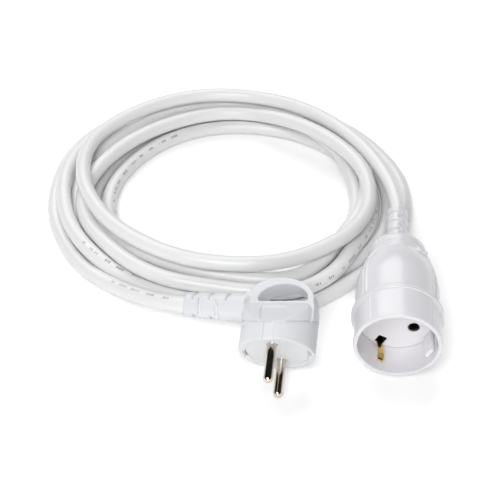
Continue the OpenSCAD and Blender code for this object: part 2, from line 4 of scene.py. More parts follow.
import bmesh
import bpy
import numpy as np
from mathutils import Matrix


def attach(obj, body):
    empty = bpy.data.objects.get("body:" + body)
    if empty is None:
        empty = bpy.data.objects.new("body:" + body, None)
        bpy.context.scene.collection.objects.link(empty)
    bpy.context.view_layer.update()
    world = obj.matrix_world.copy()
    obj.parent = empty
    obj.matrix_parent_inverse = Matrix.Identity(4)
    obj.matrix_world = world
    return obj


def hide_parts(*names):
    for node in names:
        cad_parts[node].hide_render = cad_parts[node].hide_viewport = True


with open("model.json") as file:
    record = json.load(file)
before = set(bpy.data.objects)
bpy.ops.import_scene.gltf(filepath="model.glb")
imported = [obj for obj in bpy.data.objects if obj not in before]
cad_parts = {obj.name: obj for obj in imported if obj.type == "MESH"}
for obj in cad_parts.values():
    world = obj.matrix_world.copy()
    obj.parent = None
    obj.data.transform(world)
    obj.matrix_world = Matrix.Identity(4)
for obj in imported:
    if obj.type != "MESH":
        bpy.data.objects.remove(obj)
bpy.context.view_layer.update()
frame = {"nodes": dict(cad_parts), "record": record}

mm = 0.001
print("frame: loaded,", len(frame["nodes"]), "nodes")

# Extension cord: angled plug with a finger ring, coiled round cord, bell-shaped coupling.
# Lengths are in metres; a value times mm, or in a dictionary marked mm, is written in millimetres.

view = {
    "target": (-0.0424, 0.0522, 0.0),
    "azimuth": 7.5,          # degrees round to the right
    "elevation": 42.0,       # degrees above the floor
    "distance": 0.622,
    "focalPixels": 1100.0,   # focal length for a picture 492 pixels wide
    "pictureWidth": 492.0,
}


def skyWay(azimuth, elevation):
    # from the target: (cos e sin a, -cos e cos a, sin e)
    a, e = math.radians(azimuth), math.radians(elevation)
    return np.array([math.cos(e) * math.sin(a), -math.cos(e) * math.cos(a), math.sin(e)])


def placeCamera(v):
    # looks at the target from `distance`; focal length in mm = pixels / picture width * sensor width
    camera = bpy.data.cameras.new("camera")
    camera.sensor_width = 36.0
    camera.lens = v["focalPixels"] / v["pictureWidth"] * camera.sensor_width
    camera.clip_start = 0.01
    holder = bpy.data.objects.new("camera", camera)
    bpy.context.scene.collection.objects.link(holder)
    holder.location = np.array(v["target"]) + v["distance"] * skyWay(v["azimuth"], v["elevation"])
    holder.rotation_euler = (math.radians(90.0 - v["elevation"]), 0.0, math.radians(v["azimuth"]))
    bpy.context.scene.camera = holder


placeCamera(view)
print("camera: placed")


def unit(v):
    # each vector divided by its length
    return v / np.linalg.norm(v, axis=-1, keepdims=True)


def ramp(x, low, high):
    # 0 below low, 1 above high, t*t*(3-2t) between
    t = np.clip((x - low) / (high - low), 0.0, 1.0)
    return t * t * (3.0 - 2.0 * t)


def within(x, rise, fall):
    # 1 in a stretch, eased in over rise = (low, high) and out over fall
    return ramp(x, *rise) * (1 - ramp(x, *fall))


def turnAway(turn, at):
    # degrees between two directions, 0 to 180
    return np.abs((turn - at + 180.0) % 360.0 - 180.0)


def easedCorners(corners, reach, steps=5):
    # a profile whose corner B becomes the curve (1-t)^2 P + 2t(1-t) B + t^2 Q,
    # with P and Q at `reach` before and after B; the two ends stay
    corners = np.asarray(corners, dtype=float)
    before, after = corners[:-2] - corners[1:-1], corners[2:] - corners[1:-1]
    shorter = np.minimum(np.linalg.norm(before, axis=1), np.linalg.norm(after, axis=1))
    cut = np.minimum(reach, 0.5 * shorter)[:, None]
    p, b, q = corners[1:-1] + cut * unit(before), corners[1:-1], corners[1:-1] + cut * unit(after)
    t = np.linspace(0.0, 1.0, steps)[None, :, None]
    bends = ((1 - t) ** 2 * p[:, None] + 2 * t * (1 - t) * b[:, None] + t**2 * q[:, None]).reshape(-1, 2)
    return np.vstack([corners[:1], bends, corners[-1:]])


def gridPiece(name, points, finish, wrapRows=False, caps=False, along=None):
    # points[i, j] is row i round column j; columns always close on themselves,
    # rows close too with wrapRows, and caps puts a fan on the first and last row.
    # `along` is each row's u; v is the share of the way round.
    rows, columns = points.shape[:2]
    a, b, c = points[:-1], np.roll(points, -1, axis=1)[:-1], points[1:]
    if np.einsum("ijk,ijk->", a - points.mean(axis=(0, 1)), np.cross(b - a, c - a)) < 0:
        points = points[:, ::-1]            # so that faces point outwards
    i, j = np.meshgrid(np.arange(rows if wrapRows else rows - 1), np.arange(columns), indexing="ij")
    below, right = (i + 1) % rows, (j + 1) % columns
    quads = np.stack([i * columns + j, i * columns + right,
                      below * columns + right, below * columns + j], axis=-1).reshape(-1, 4)
    vertices = points.reshape(-1, 3)
    faces = quads.tolist()
    if caps:
        here, after, base = np.arange(columns), (np.arange(columns) + 1) % columns, (rows - 1) * columns
        first, last = len(vertices), len(vertices) + 1
        vertices = np.vstack([vertices, points[0].mean(axis=0), points[-1].mean(axis=0)])
        faces += np.stack([np.full(columns, first), after, here], axis=-1).tolist()
        faces += np.stack([np.full(columns, last), base + here, base + after], axis=-1).tolist()
    mesh = bpy.data.meshes.new(name)
    mesh.from_pydata(vertices.tolist(), [], faces)
    if along is not None:
        u = np.stack([along[i], along[i], along[below], along[below]], axis=-1)
        v = np.stack([j, j + 1, j + 1, j], axis=-1) / columns
        corners = np.zeros((len(mesh.loops), 2))
        corners[:quads.size, 0], corners[:quads.size, 1] = u.reshape(-1), v.reshape(-1)
        mesh.uv_layers.new(name="surface").data.foreach_set("uv", corners.reshape(-1))
    return showPiece(name, mesh, finish)


def showPiece(name, mesh, finish):
    # shaded smooth, in one material, on the one body
    mesh.polygons.foreach_set("use_smooth", np.ones(len(mesh.polygons), dtype=bool))
    mesh.materials.clear()
    mesh.materials.append(finish)
    mesh.update()
    piece = bpy.data.objects.new(name, mesh)
    bpy.context.scene.collection.objects.link(piece)
    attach(piece, "root")
    return piece


def finished(mesh, kind, **settings):
    # the mesh after one modifier
    blank = bpy.data.objects.new("blank", mesh)
    bpy.context.scene.collection.objects.link(blank)
    modifier = blank.modifiers.new("step", kind)
    for key, value in settings.items():
        setattr(modifier, key, value)
    done = bpy.data.meshes.new_from_object(blank.evaluated_get(bpy.context.evaluated_depsgraph_get()))
    bpy.data.objects.remove(blank)
    return done


def easedCopy(node, name, finish, s, carve=None, added=None):
    # a copy of the node, merged, laid over cells `cell` mm wide, carved, then every point moved half way
    # to its neighbours' mean `passes` times, which rounds the edges as moulding does;
    # `carve` takes all points at once and gives their new places; `added` is a closed mesh that joins it
    work = bmesh.new()
    work.from_mesh(frame["nodes"][node].data)
    if added:
        work.from_mesh(added)
    bmesh.ops.remove_doubles(work, verts=work.verts, dist=0.002 * mm)
    mesh = bpy.data.meshes.new(name)
    work.to_mesh(mesh)
    work.free()
    mesh = finished(mesh, "REMESH", mode="VOXEL", voxel_size=s["cell"] * mm)
    if carve:
        points = np.empty(len(mesh.vertices) * 3)
        mesh.vertices.foreach_get("co", points)
        mesh.vertices.foreach_set("co", carve(points.reshape(-1, 3)).reshape(-1))
    mesh = finished(mesh, "SMOOTH", factor=0.5, iterations=s["passes"])
    piece = showPiece(name, mesh, finish)
    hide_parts(node)
    print(name + ":", len(mesh.polygons), "faces")
    return piece


class Field:
    # a number that changes over a surface; an expression on it adds Math nodes

    def __init__(self, tree, socket):
        self.tree, self.socket = tree, socket

    def calc(self, operation, first, second=None):
        node = self.tree.nodes.new("ShaderNodeMath")
        node.operation = operation
        for socket, value in zip(node.inputs, (first, second)):
            if isinstance(value, Field):
                self.tree.links.new(value.socket, socket)
            elif value is not None:
                socket.default_value = value
        return Field(self.tree, node.outputs[0])

    def __add__(self, other):
        return self.calc("ADD", self, other)

    def __radd__(self, other):
        return self.calc("ADD", other, self)

    def __sub__(self, other):
        return self.calc("SUBTRACT", self, other)

    def __rsub__(self, other):
        return self.calc("SUBTRACT", other, self)

    def __mul__(self, other):
        return self.calc("MULTIPLY", self, other)

    def __rmul__(self, other):
        return self.calc("MULTIPLY", other, self)

    def __truediv__(self, other):
        return self.calc("DIVIDE", self, other)

    def __lt__(self, other):
        return self.calc("LESS_THAN", self, other)

    def __gt__(self, other):
        return self.calc("GREATER_THAN", self, other)

    def __mod__(self, other):
        return self.calc("FLOORED_MODULO", self, other)

    def floor(self):
        return self.calc("FLOOR", self)

    def size(self):
        return self.calc("ABSOLUTE", self)


class Nodes:
    # puts nodes in a tree: put() takes a node's type, its settings and its sockets

    def __init__(self, tree):
        self.tree = tree

    def put(self, kind, settings=None, sockets=None, out=0):
        node = self.tree.nodes.new(kind)
        for key, value in (settings or {}).items():
            setattr(node, key, value)
        for key, value in (sockets or {}).items():
            self.join(node.inputs[key], value)
        return Field(self.tree, node.outputs[out])

    def join(self, socket, value):
        if isinstance(value, Field):
            self.tree.links.new(value.socket, socket)
        else:
            socket.default_value = value

    def part(self, vector, axis):
        return self.put("ShaderNodeSeparateXYZ", None, {0: vector}, out=axis)


class Finish(Nodes):
    # one material with its shader; constants are the shader's own sockets

    def __init__(self, name, **constants):
        self.material = bpy.data.materials.new(name)
        self.material.use_nodes = True
        super().__init__(self.material.node_tree)
        self.surface = self.tree.nodes["Principled BSDF"]
        for socket, value in constants.items():
            self.surface.inputs[socket.replace("_", " ")].default_value = value

    def noise(self, scale, detail=2.0):
        # smooth noise with features of 1/scale metres
        place = self.put("ShaderNodeTexCoord", out="Object")
        return self.put("ShaderNodeTexNoise", sockets={"Vector": place, "Scale": scale, "Detail": detail})

    def mix(self, share, first, second):
        # colour first where share is 0, second where it is 1
        sockets = {"Factor": share, 6: first, 7: second}
        return self.put("ShaderNodeMix", {"data_type": "RGBA"}, sockets, out=2)

    def stored(self, name):
        # a number kept on the piece's points, 0 where the piece has none
        return self.put("ShaderNodeAttribute", {"attribute_name": name}, out="Fac")

    def colour(self, value):
        self.join(self.surface.inputs["Base Color"], value)

    def rough(self, value):
        self.join(self.surface.inputs["Roughness"], value)

    def bump(self, height, depth, strength):
        sockets = {"Height": height, "Distance": depth, "Strength": strength}
        self.join(self.surface.inputs["Normal"], self.put("ShaderNodeBump", sockets=sockets))


def rgb(red, green, blue):
    return (red, green, blue, 1.0)


# white soft PVC of the sheath: milky, glossy, slightly wavy, with printed ticks on one line
sheathPvc = {
    "colour": rgb(0.85, 0.85, 0.853), "shade": rgb(0.82, 0.82, 0.822),
    "roughness": 0.32, "coat": 0.25,
    "ink": rgb(0.18, 0.18, 0.20), "inkShare": 0.72,
    "tickPitch": 1.25 * mm, "tickHalf": 0.029, "word": 9.5 * mm,
}


def sheathFinish(s):
    # base colour with ink laid over it where a tick, a word and the printed stretch meet
    f = Finish("sheathPvc", Coat_Weight=s["coat"], Coat_Roughness=0.15, IOR=1.5)
    base = f.mix(f.noise(22.0), s["shade"], s["colour"])
    way = f.put("ShaderNodeUVMap", {"uv_map": "surface"})
    u, v = f.part(way, 0), f.part(way, 1)
    printed = f.stored("printed")
    # ticks: one in each cell tickPitch long, a random share of it wide and some left out,
    # in words that fill a random share of every `word`
    tick = f.put("ShaderNodeTexWhiteNoise", {"noise_dimensions": "1D"}, {"W": (u / s["tickPitch"]).floor()})
    word = f.put("ShaderNodeTexWhiteNoise", {"noise_dimensions": "1D"}, {"W": (u / s["word"]).floor() + 0.5})
    inTick = ((u / s["tickPitch"]) % 1.0) < (0.35 + 0.45 * tick)
    inWord = ((u / s["word"]) % 1.0) < (0.35 + 0.4 * word)
    inBand = (v - 0.5).size() < (s["tickHalf"] * (0.75 + 0.25 * tick))
    ink = inBand * inTick * inWord * (tick > 0.12) * printed
    f.colour(f.mix(ink * s["inkShare"], base, s["ink"]))
    f.rough(s["roughness"] + 0.06 * f.noise(300.0))
    f.bump(f.noise(70.0, 3.0), 0.15 * mm, 0.3)
    return f.material


def plasticFinish(name, light, shade, roughness, coat, grain, paintedShadow=None):
    # moulded plastic: faint clouds of tone and an even grain that only shows in the gloss;
    # it turns to a painted shadow colour, where one is given, as far as the piece's painted shade share says
    f = Finish(name, Coat_Weight=coat, Coat_Roughness=0.18, IOR=1.49)
    tone = f.mix(f.noise(35.0), shade, light)
    # painted shadow: the colour goes to near black deep inside the slots, where shade falls
    f.colour(f.mix(f.stored("paintedShade"), tone, paintedShadow) if paintedShadow else tone)
    f.rough(roughness + 0.03 * f.noise(90.0))
    f.bump(f.noise(grain, 1.0), 0.001 * mm, 0.2)
    return f.material


def metalFinish(name, light, dark, roughness):
    # plated metal, a little darker and duller where it has been handled, and painted near-black where the
    # painted shade share is 1, as shade deep in a slot
    f = Finish(name, Metallic=1.0)
    wear = f.noise(240.0, 4.0)
    # painted shade: near black where the metal runs deep into the slot
    f.colour(f.mix(f.stored("paintedShade"), f.mix(wear, light, dark), rgb(0.02, 0.018, 0.015)))
    f.rough(roughness + 0.10 * wear)
    f.bump(f.noise(1500.0), 0.004 * mm, 0.3)
    return f.material


def coreFinish(name, light, dark):
    # a core's insulation, in clouds of two tones
    f = Finish(name, IOR=1.46)
    f.colour(f.mix(f.noise(150.0), light, dark))
    f.rough(0.42 + 0.15 * f.noise(700.0))
    f.bump(f.noise(900.0), 0.03 * mm, 0.3)
    return f.material


sheath = sheathFinish(sheathPvc)
plugPlastic = plasticFinish("plugPvc", rgb(0.765, 0.778, 0.80), rgb(0.735, 0.748, 0.772),
                            roughness=0.36, coat=0.10, grain=900.0)
couplingPlastic = plasticFinish("couplingPlastic", rgb(0.79, 0.782, 0.812), rgb(0.765, 0.757, 0.79),
                                roughness=0.24, coat=0.25, grain=700.0)
# the insert's slots are painted near-black inside, as shade
insertPlastic = plasticFinish("couplingInside", rgb(0.86, 0.85, 0.88), rgb(0.84, 0.83, 0.86),
                              roughness=0.30, coat=0.15, grain=700.0, paintedShadow=rgb(0.03, 0.03, 0.032))
nickel = metalFinish("nickel", rgb(0.72, 0.65, 0.57), rgb(0.60, 0.54, 0.47), 0.10)
brass = metalFinish("brass", rgb(0.74, 0.53, 0.20), rgb(0.58, 0.40, 0.12), 0.16)
brownCore = coreFinish("brownCore", rgb(0.16, 0.07, 0.03), rgb(0.12, 0.05, 0.025))
blueCore = coreFinish("blueCore", rgb(0.03, 0.11, 0.42), rgb(0.02, 0.08, 0.34))
earthCore = coreFinish("earthCore", rgb(0.22, 0.42, 0.04), rgb(0.5, 0.45, 0.03))
print("materials: made")


# the route: from inside the plug's boot round nearly seven turns to inside the coupling's boot
cordRoute = {
    "diameter": 8.5 * mm,
    "centre": (-55.4, 89.2),        # mm, the middle of the coil
    "step": 15.0, "firstStep": 2,   # degrees, clockwise from above, and the first knot's number
    "lead": (-84.7, -7.8, 11.0),    # mm, between the plug's boot and the first turn
    "turns": [                      # [radius, height] in mm at every step
        [[99.2, 6.2], [101.2, 4.3], [102, 4.3], [103.5, 4.3], [104.5, 4.3], [106.5, 4.3],
         [106, 4.3], [103, 4.3], [100.5, 4.3], [98.8, 4.3], [97.8, 4.3], [97, 4.3],
         [96.8, 4.3], [97.5, 4.3], [98.8, 4.3], [101, 4.3], [101, 4.3], [101.3, 4.3],
         [98.6, 4.3], [96.5, 4.3], [98.2, 4.3], [94, 4.3]],
        [[89.3, 4.3], [88.3, 4.3], [89.8, 4.8], [94.4, 10.6], [96.6, 12.3], [97.5, 12.4],
         [99.3, 12.4], [100, 11.5], [97.2, 7.6], [93.3, 4.3], [91.2, 4.3], [89.6, 4.3],
         [88.6, 4.3], [89, 9.2], [88.5, 12.2], [84.5, 13.4], [82.3, 13.4], [79.5, 13.4],
         [77.8, 12.4], [75.9, 13.1], [76, 13.3], [81.3, 12.6], [84.5, 12.5], [79.2, 12.6]],
        [[75.3, 12.4], [74.6, 12.3], [75.9, 12.4], [78.2, 8.7], [82, 4.3], [82, 4.3],
         [80.9, 4.3], [79, 4.3], [78.1, 4.3], [78.2, 4.3], [78.5, 4.3], [79.1, 4.3],
         [79.5, 4.3], [81.1, 4.3], [83.3, 4.3], [85.9, 4.3], [89.3, 4.3], [91.7, 4.3],
         [91.7, 4.3], [91.9, 4.3], [89.2, 4.3], [87.3, 4.3], [88.6, 4.3], [84.2, 4.3]],
        [[79.9, 4.3], [79.2, 4.3], [80.5, 4.3], [86.7, 4.3], [91.7, 4.3], [92, 4.5],
         [91.3, 5.7], [88.3, 10.3], [84.9, 11], [84.2, 12], [84.2, 12.4], [83.8, 12.6],
         [82.3, 12.9], [77.6, 13.5], [73.5, 13.4], [72.4, 12.9], [72.6, 10.5], [72.7, 7],
         [73, 4.3], [73, 4.3], [74.3, 4.3], [77, 4.3], [79.1, 4.3], [74.6, 4.3]],
        [[70.7, 4.3], [70.1, 4.3], [70.8, 4.3], [70.2, 4.3], [72.4, 4.3], [72.7, 4.3],
         [71.6, 4.3], [69.8, 4.3], [68.9, 4.3], [69, 4.3], [69.3, 4.3], [69.8, 4.3],
         [70.3, 4.3], [71.7, 4.3], [73.9, 4.3], [76.5, 4.3], [79.8, 4.3], [82.4, 4.3],
         [82.4, 4.3], [83.3, 7.6], [85.2, 12.8], [91.6, 12.6], [94.4, 12.7], [88.8, 12.7]],
        [[84.6, 12.8], [86, 13.4], [85.8, 13.2], [85.8, 14], [87.3, 12.6], [86.8, 12.8],
         [82.4, 13.5], [78, 13.5], [75.1, 13.2], [73.6, 12.8], [73, 12.8], [73, 13],
         [72.6, 13.1], [68.4, 16.5], [66, 19.5], [67.3, 20.5], [70.6, 20.5], [74.9, 21.5],
         [79, 21.5], [82.2, 21.5], [82.8, 21.9], [80.8, 21.8], [79.3, 21.3], [77.5, 21.7]],
        [[76, 21.6], [75.8, 21.5], [76, 21.5], [78, 21.5], [80.8, 21.5], [84.5, 21.8],
         [88, 21.5], [90.5, 20.6], [88.4, 20.6], [86, 20.9], [83.2, 21.6], [81.2, 21.6],
         [79.2, 21.6], [77.4, 22.6], [77.5, 22.4], [78.8, 21.6], [80.3, 22.5], [84.6, 22.6],
         [91.3, 23]]
    ],
    "spacing": 2.5 * mm,            # between two rings of the tube
    "sides": 24,
    "heldSteps": 11, "easing": 12,  # rings left as they are at both ends, and passes over the rest
    "clear": 0.05 * mm,             # between the cord and the floor
    # degrees from straight up of the printed line, at these mm along the cord
    "twist": [[0, -10], [65, -10], [350, -170], [560, -270], [660, -315], [695, -360], [850, -450],
              [1000, -540], [2000, -540], [2250, -600], [2325, -670], [2370, -680], [2410, -685],
              [2560, -760], [2592, -755], [2630, -785], [2665, -770], [2760, -810], [2950, -900]],
    "printed": [[26, 68], [660, 725], [1180, 1290], [1700, 1800], [2312, 2412], [2578, 2672], [3050, 3150]],
}


# where the plug and the coupling lie, from the mounts of their pins and contacts
def mount(name, what):
    # one value of the mount with this name
    return next(np.array(m[what]) for m in frame["record"]["mounts"] if m["name"] == name)


plugPlace = {
    "pinMiddle": 8.0 * mm,           # from the pins' mounts back to the face
    "bootZ": 23.9 * mm, "bootReach": 51.0 * mm, "held": 20.0 * mm,
    "bootLean": 3.5,                 # degrees
}
couplingPlace = {"contactStart": 19.1 * mm, "length": 100.5 * mm, "held": 24.0 * mm}

# plug: X towards the boot's end, Y along the pin line, Z back from the face
livePin, neutralPin = mount("plug_pin_live", "pos_m"), mount("plug_pin_neutral", "pos_m")
plugZ = -mount("plug_pin_live", "axis")
plugY = unit(livePin - neutralPin)
plugAxes = np.stack([np.cross(plugY, plugZ), plugY, plugZ])
plugOrigin = (livePin + neutralPin) / 2 + plugPlace["pinMiddle"] * plugZ

# coupling: Z back from the mouth, X to the right and Y down
liveHole, neutralHole = mount("socket_contact_live", "pos_m"), mount("socket_contact_neutral", "pos_m")
couplingZ = unit(-mount("socket_contact_live", "axis"))
couplingY = unit(np.cross(np.cross(couplingZ, [0.0, 0.0, -1.0]), couplingZ))
couplingAxes = np.stack([np.cross(couplingY, couplingZ), couplingY, couplingZ])
couplingOrigin = (liveHole + neutralHole) / 2 - couplingPlace["contactStart"] * couplingZ


def onPlug(points):
    # from the plug's own axes to where it lies
    return plugOrigin + np.asarray(points) @ plugAxes


def onCoupling(points):
    # from the coupling's own axes to where it lies
    return couplingOrigin + np.asarray(points) @ couplingAxes


def bootAxis(reach, p):
    # a point of the leaning boot's axis: (reach cos lean, 0, bootZ + reach sin lean)
    lean = math.radians(p["bootLean"])
    return onPlug([[reach * math.cos(lean), 0.0, p["bootZ"] + reach * math.sin(lean)]])


def routeKnots(r):
    # knot i of the coil: centre - radius * (sin a, cos a), with a = step * i
    coil = np.array([pair for row in r["turns"] for pair in row])
    angle = np.radians(r["step"] * (np.arange(len(coil)) + r["firstStep"]))
    coil = np.stack([r["centre"][0] - coil[:, 0] * np.sin(angle),
                     r["centre"][1] - coil[:, 0] * np.cos(angle), coil[:, 1]], axis=-1) * mm
    p, c = plugPlace, couplingPlace
    start = [bootAxis(p["bootReach"] - p["held"], p), bootAxis(p["bootReach"] + r["diameter"], p)]
    end = onCoupling([[0.0, 0.0, c["length"] + r["diameter"]], [0.0, 0.0, c["length"] - c["held"]]])
    return np.vstack(start + [np.array(r["lead"]) * mm, coil, end])


def smoothRoute(knots, perKnot=12):
    # centripetal Catmull-Rom through the knots, in Hermite form
    before = np.vstack([2 * knots[0] - knots[1], knots[:-2]])
    after = np.vstack([knots[2:], 2 * knots[-1] - knots[-2]])
    p0, p1, p2, p3 = before, knots[:-1], knots[1:], after
    t01, t12, t23 = (np.linalg.norm(b - a, axis=1, keepdims=True) ** 0.5
                     for a, b in ((p0, p1), (p1, p2), (p2, p3)))
    m1 = (p2 - p1) + t12 * ((p1 - p0) / t01 - (p2 - p0) / (t01 + t12))
    m2 = (p2 - p1) + t12 * ((p3 - p2) / t23 - (p3 - p1) / (t12 + t23))
    t = (np.arange(perKnot) / perKnot)[None, :, None]
    fine = ((2 * t**3 - 3 * t**2 + 1) * p1[:, None] + (t**3 - 2 * t**2 + t) * m1[:, None]
            + (3 * t**2 - 2 * t**3) * p2[:, None] + (t**3 - t**2) * m2[:, None]).reshape(-1, 3)
    return np.vstack([fine, knots[-1]])


def evenSteps(points, spacing):
    # the same line in equal steps along its length
    run = np.concatenate([[0.0], np.cumsum(np.linalg.norm(np.diff(points, axis=0), axis=1))])
    at = np.linspace(0.0, run[-1], int(round(run[-1] / spacing)) + 1)
    return np.stack([np.interp(at, run, points[:, k]) for k in range(3)], axis=-1), at


def easedRoute(path, held, passes, lowest):
    # each point moves to (before + 2 itself + after) / 4, as often as `passes`, except in the
    # boots at both ends; nothing goes below the floor
    free = path.copy()
    for step in range(passes):
        before, after = free[held - 1:-held - 1], free[held + 1:len(free) - held + 1]
        free[held:-held] = (before + 2 * free[held:-held] + after) / 4
    free[:, 2] = np.maximum(free[:, 2], lowest)
    return free


def tube(path, radius, sides, turn):
    # centre + radius * (cos t * up + sin t * across); across is level, square to the way
    way = unit(np.gradient(path, axis=0))
    across = unit(np.cross(way, [0.0, 0.0, 1.0]))
    up = np.cross(across, way)
    t = (np.linspace(0.0, 2 * np.pi, sides, endpoint=False)[None, :] + np.reshape(turn, (-1, 1)))[..., None]
    return path[:, None] + radius * (np.cos(t) * up[:, None] + np.sin(t) * across[:, None])


def makeCord(r):
    # a tube along the smoothed, evenly stepped and eased route, with 1 in "printed" on the printed stretches
    path, along = evenSteps(smoothRoute(routeKnots(r)), r["spacing"])
    path = easedRoute(path, r["heldSteps"], r["easing"], r["diameter"] / 2 + r["clear"])
    twist = np.array(r["twist"])
    # the printed line is at v = 0.5, so the tube is turned half way round from it
    turn = np.radians(np.interp(along / mm, twist[:, 0], twist[:, 1]) + 180.0)
    rings = tube(path, r["diameter"] / 2, r["sides"], turn)
    piece = gridPiece("cord", rings, sheath, caps=True, along=along)
    printed = sum(((along / mm > a) & (along / mm < b)).astype(float) for a, b in r["printed"])
    value = np.concatenate([np.repeat(printed, r["sides"]), [0.0, 0.0]])
    piece.data.attributes.new("printed", "FLOAT", "POINT").data.foreach_set("value", value)
    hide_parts("cord_sheath")
    return piece, path, along[-1]


cord, cordPath, cordLength = makeCord(cordRoute)
print("cord: %.2f m long" % cordLength)


pinShape = {                         # mm, z running back from the face; the dome's turn in degrees
    "offset": 9.5, "radius": 2.4, "tip": -19.0, "domeTurn": 84.0, "domeRows": 14, "domeFlat": 0.9,
    "shoulder": 2.7, "shoulderFrom": 0.6, "back": 7.6, "stub": 1.5, "stubEnd": 9.2,
    "edge": 0.1, "sides": 72,
}


def makePin(s, side, name, node):
    # a dome, [z, radius] = [tip + domeFlat * R * (1 - cos a), R * sin a], the shank, the shoulder and
    # the stub, turned about the axis at side * offset
    r, tip = s["radius"], s["tip"]
    a = np.radians(np.linspace(0.0, s["domeTurn"], s["domeRows"]))
    dome = np.stack([tip + r * s["domeFlat"] * (1 - np.cos(a)), r * np.sin(a)], axis=-1)
    rest = easedCorners([[tip + r, r], [s["shoulderFrom"], r], [s["shoulderFrom"], s["shoulder"]],
                         [s["back"], s["shoulder"]], [s["back"], s["stub"]], [s["stubEnd"], s["stub"]],
                         [s["stubEnd"], 0.02]], s["edge"])
    line = np.vstack([dome[1:], rest])
    t = np.linspace(0.0, 2 * np.pi, s["sides"], endpoint=False)
    ring = np.stack([line[:, 1:] * np.cos(t), side * s["offset"] + line[:, 1:] * np.sin(t),
                     np.broadcast_to(line[:, :1], (len(line), len(t)))], axis=-1)
    piece = gridPiece(name, onPlug(ring * mm), nickel, caps=True)
    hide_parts(node)


bootGrip = {                         # mm, and degrees round the boot from the ring's side to the back
    "from": (24.6, 25.8), "root": 16.3, "end": 51.0, "wide": 7.5, "narrow": 6.5, "inside": (5.3, 5.5),
    "endIn": 0.8, "endOver": 1.1,    # how far the end narrows, and over which length
    "first": 27.2, "pitch": 9.1, "count": 3, "slotWide": 1.7, "slotDeep": 1.5,
    "slotAt": (55.0, -150.0), "slotHalf": 54.0,
    "middle": 0.6, "ovalAt": (-46.0, 134.0), "ovalHalf": 32.0,
}
roof = {                             # mm; the sloping roofs, from low to high as [Y, Z]
    "low": (18.2, 9.0), "high": (5.3, 25.8),
    "half": 11.5, "start": 1.2, "stop": 20.0, "under": -1.3, "over": 0.5, "inset": 1.1,   # its extent
    "restHalf": 7.0, "restAt": -2.1, "restSkew": 0.23, "restLong": 17.0, "restDeep": 0.8,
    "restEdge": (-0.35, 0.15), "corner": 2.2,
    "collar": 19.0, "collarRear": 17.0, "slant": 0.44,
    "lineAt": 0.35, "lineWide": 0.55, "lineDeep": 0.9, "lineInset": 2.2, "lineTo": 17.0,
    "swellX": (12.5, 15.0), "swellY": (11.0, 14.0), "swellReach": (17.2, 19.3), "swellTop": 31.0,
    "swellOut": 0.1,
}


def slotDepth(along, turn, wide, half, wall):
    # 1 inside a slot with round ends, `half` degrees long to both sides, and 0 outside it
    arc = turnAway(turn, 0.0) * np.radians(1.0) * wall
    away = np.hypot(np.maximum(arc - (np.radians(half) * wall - wide / 2), 0.0), along)
    return 1 - ramp(away, wide / 2 - 0.3, wide / 2 + 0.15)


def carvedGrip(local):
    # outside `inside` from the boot's axis, a point at s along it and t round it moves to the radius
    # wide..narrow - slotDeep * (how far (s, t) lies in a slot); slots stand in two rows, ovals between.
    # `from` and `inside` are the stretches over which the change eases in
    g, p = bootGrip, plugPlace
    lean = math.radians(p["bootLean"])
    x, back = local[:, 0], local[:, 2] - p["bootZ"] / mm
    s = x * math.cos(lean) + back * math.sin(lean)
    rise = back * math.cos(lean) - x * math.sin(lean)
    reach, turn = np.hypot(rise, local[:, 1]), np.degrees(np.arctan2(rise, local[:, 1]))
    wall = g["wide"] + (g["narrow"] - g["wide"]) * (s - g["root"]) / (g["end"] - g["root"])
    wall = wall - g["endIn"] * ramp(s, g["end"] - g["endOver"], g["end"] + 0.1)
    depth = np.zeros(len(s))
    for i in range(g["count"]):
        station = g["first"] + i * g["pitch"]
        for at in g["slotAt"]:
            slot = slotDepth(s - station, turn - at, g["slotWide"], g["slotHalf"], wall)
            depth = np.maximum(depth, slot)
        for at in g["ovalAt"] if i < g["count"] - 1 else ():
            along = s - station - g["middle"] * g["pitch"]
            depth = np.maximum(depth, slotDepth(along, turn - at, g["slotWide"], g["ovalHalf"], wall))
    share = ramp(s, *g["from"]) * ramp(reach, *g["inside"]) * (s < g["end"] + 0.3)
    scale = share * ((wall - g["slotDeep"] * depth) / np.maximum(reach, 1.0) - 1)
    up = np.array([-math.sin(lean), 0.0, math.cos(lean)])
    return local + (scale * rise)[:, None] * up + (scale * local[:, 1])[:, None] * np.array([0.0, 1.0, 0.0])


def roundedEdge(across, past, corner):
    # distance from the outline of a rectangle with round corners, less than 0 inside it;
    # across and past are measured from the middles of its corners
    outside = np.hypot(np.maximum(across, 0.0), np.maximum(past, 0.0))
    return outside + np.minimum(np.maximum(across, past), 0.0) - corner


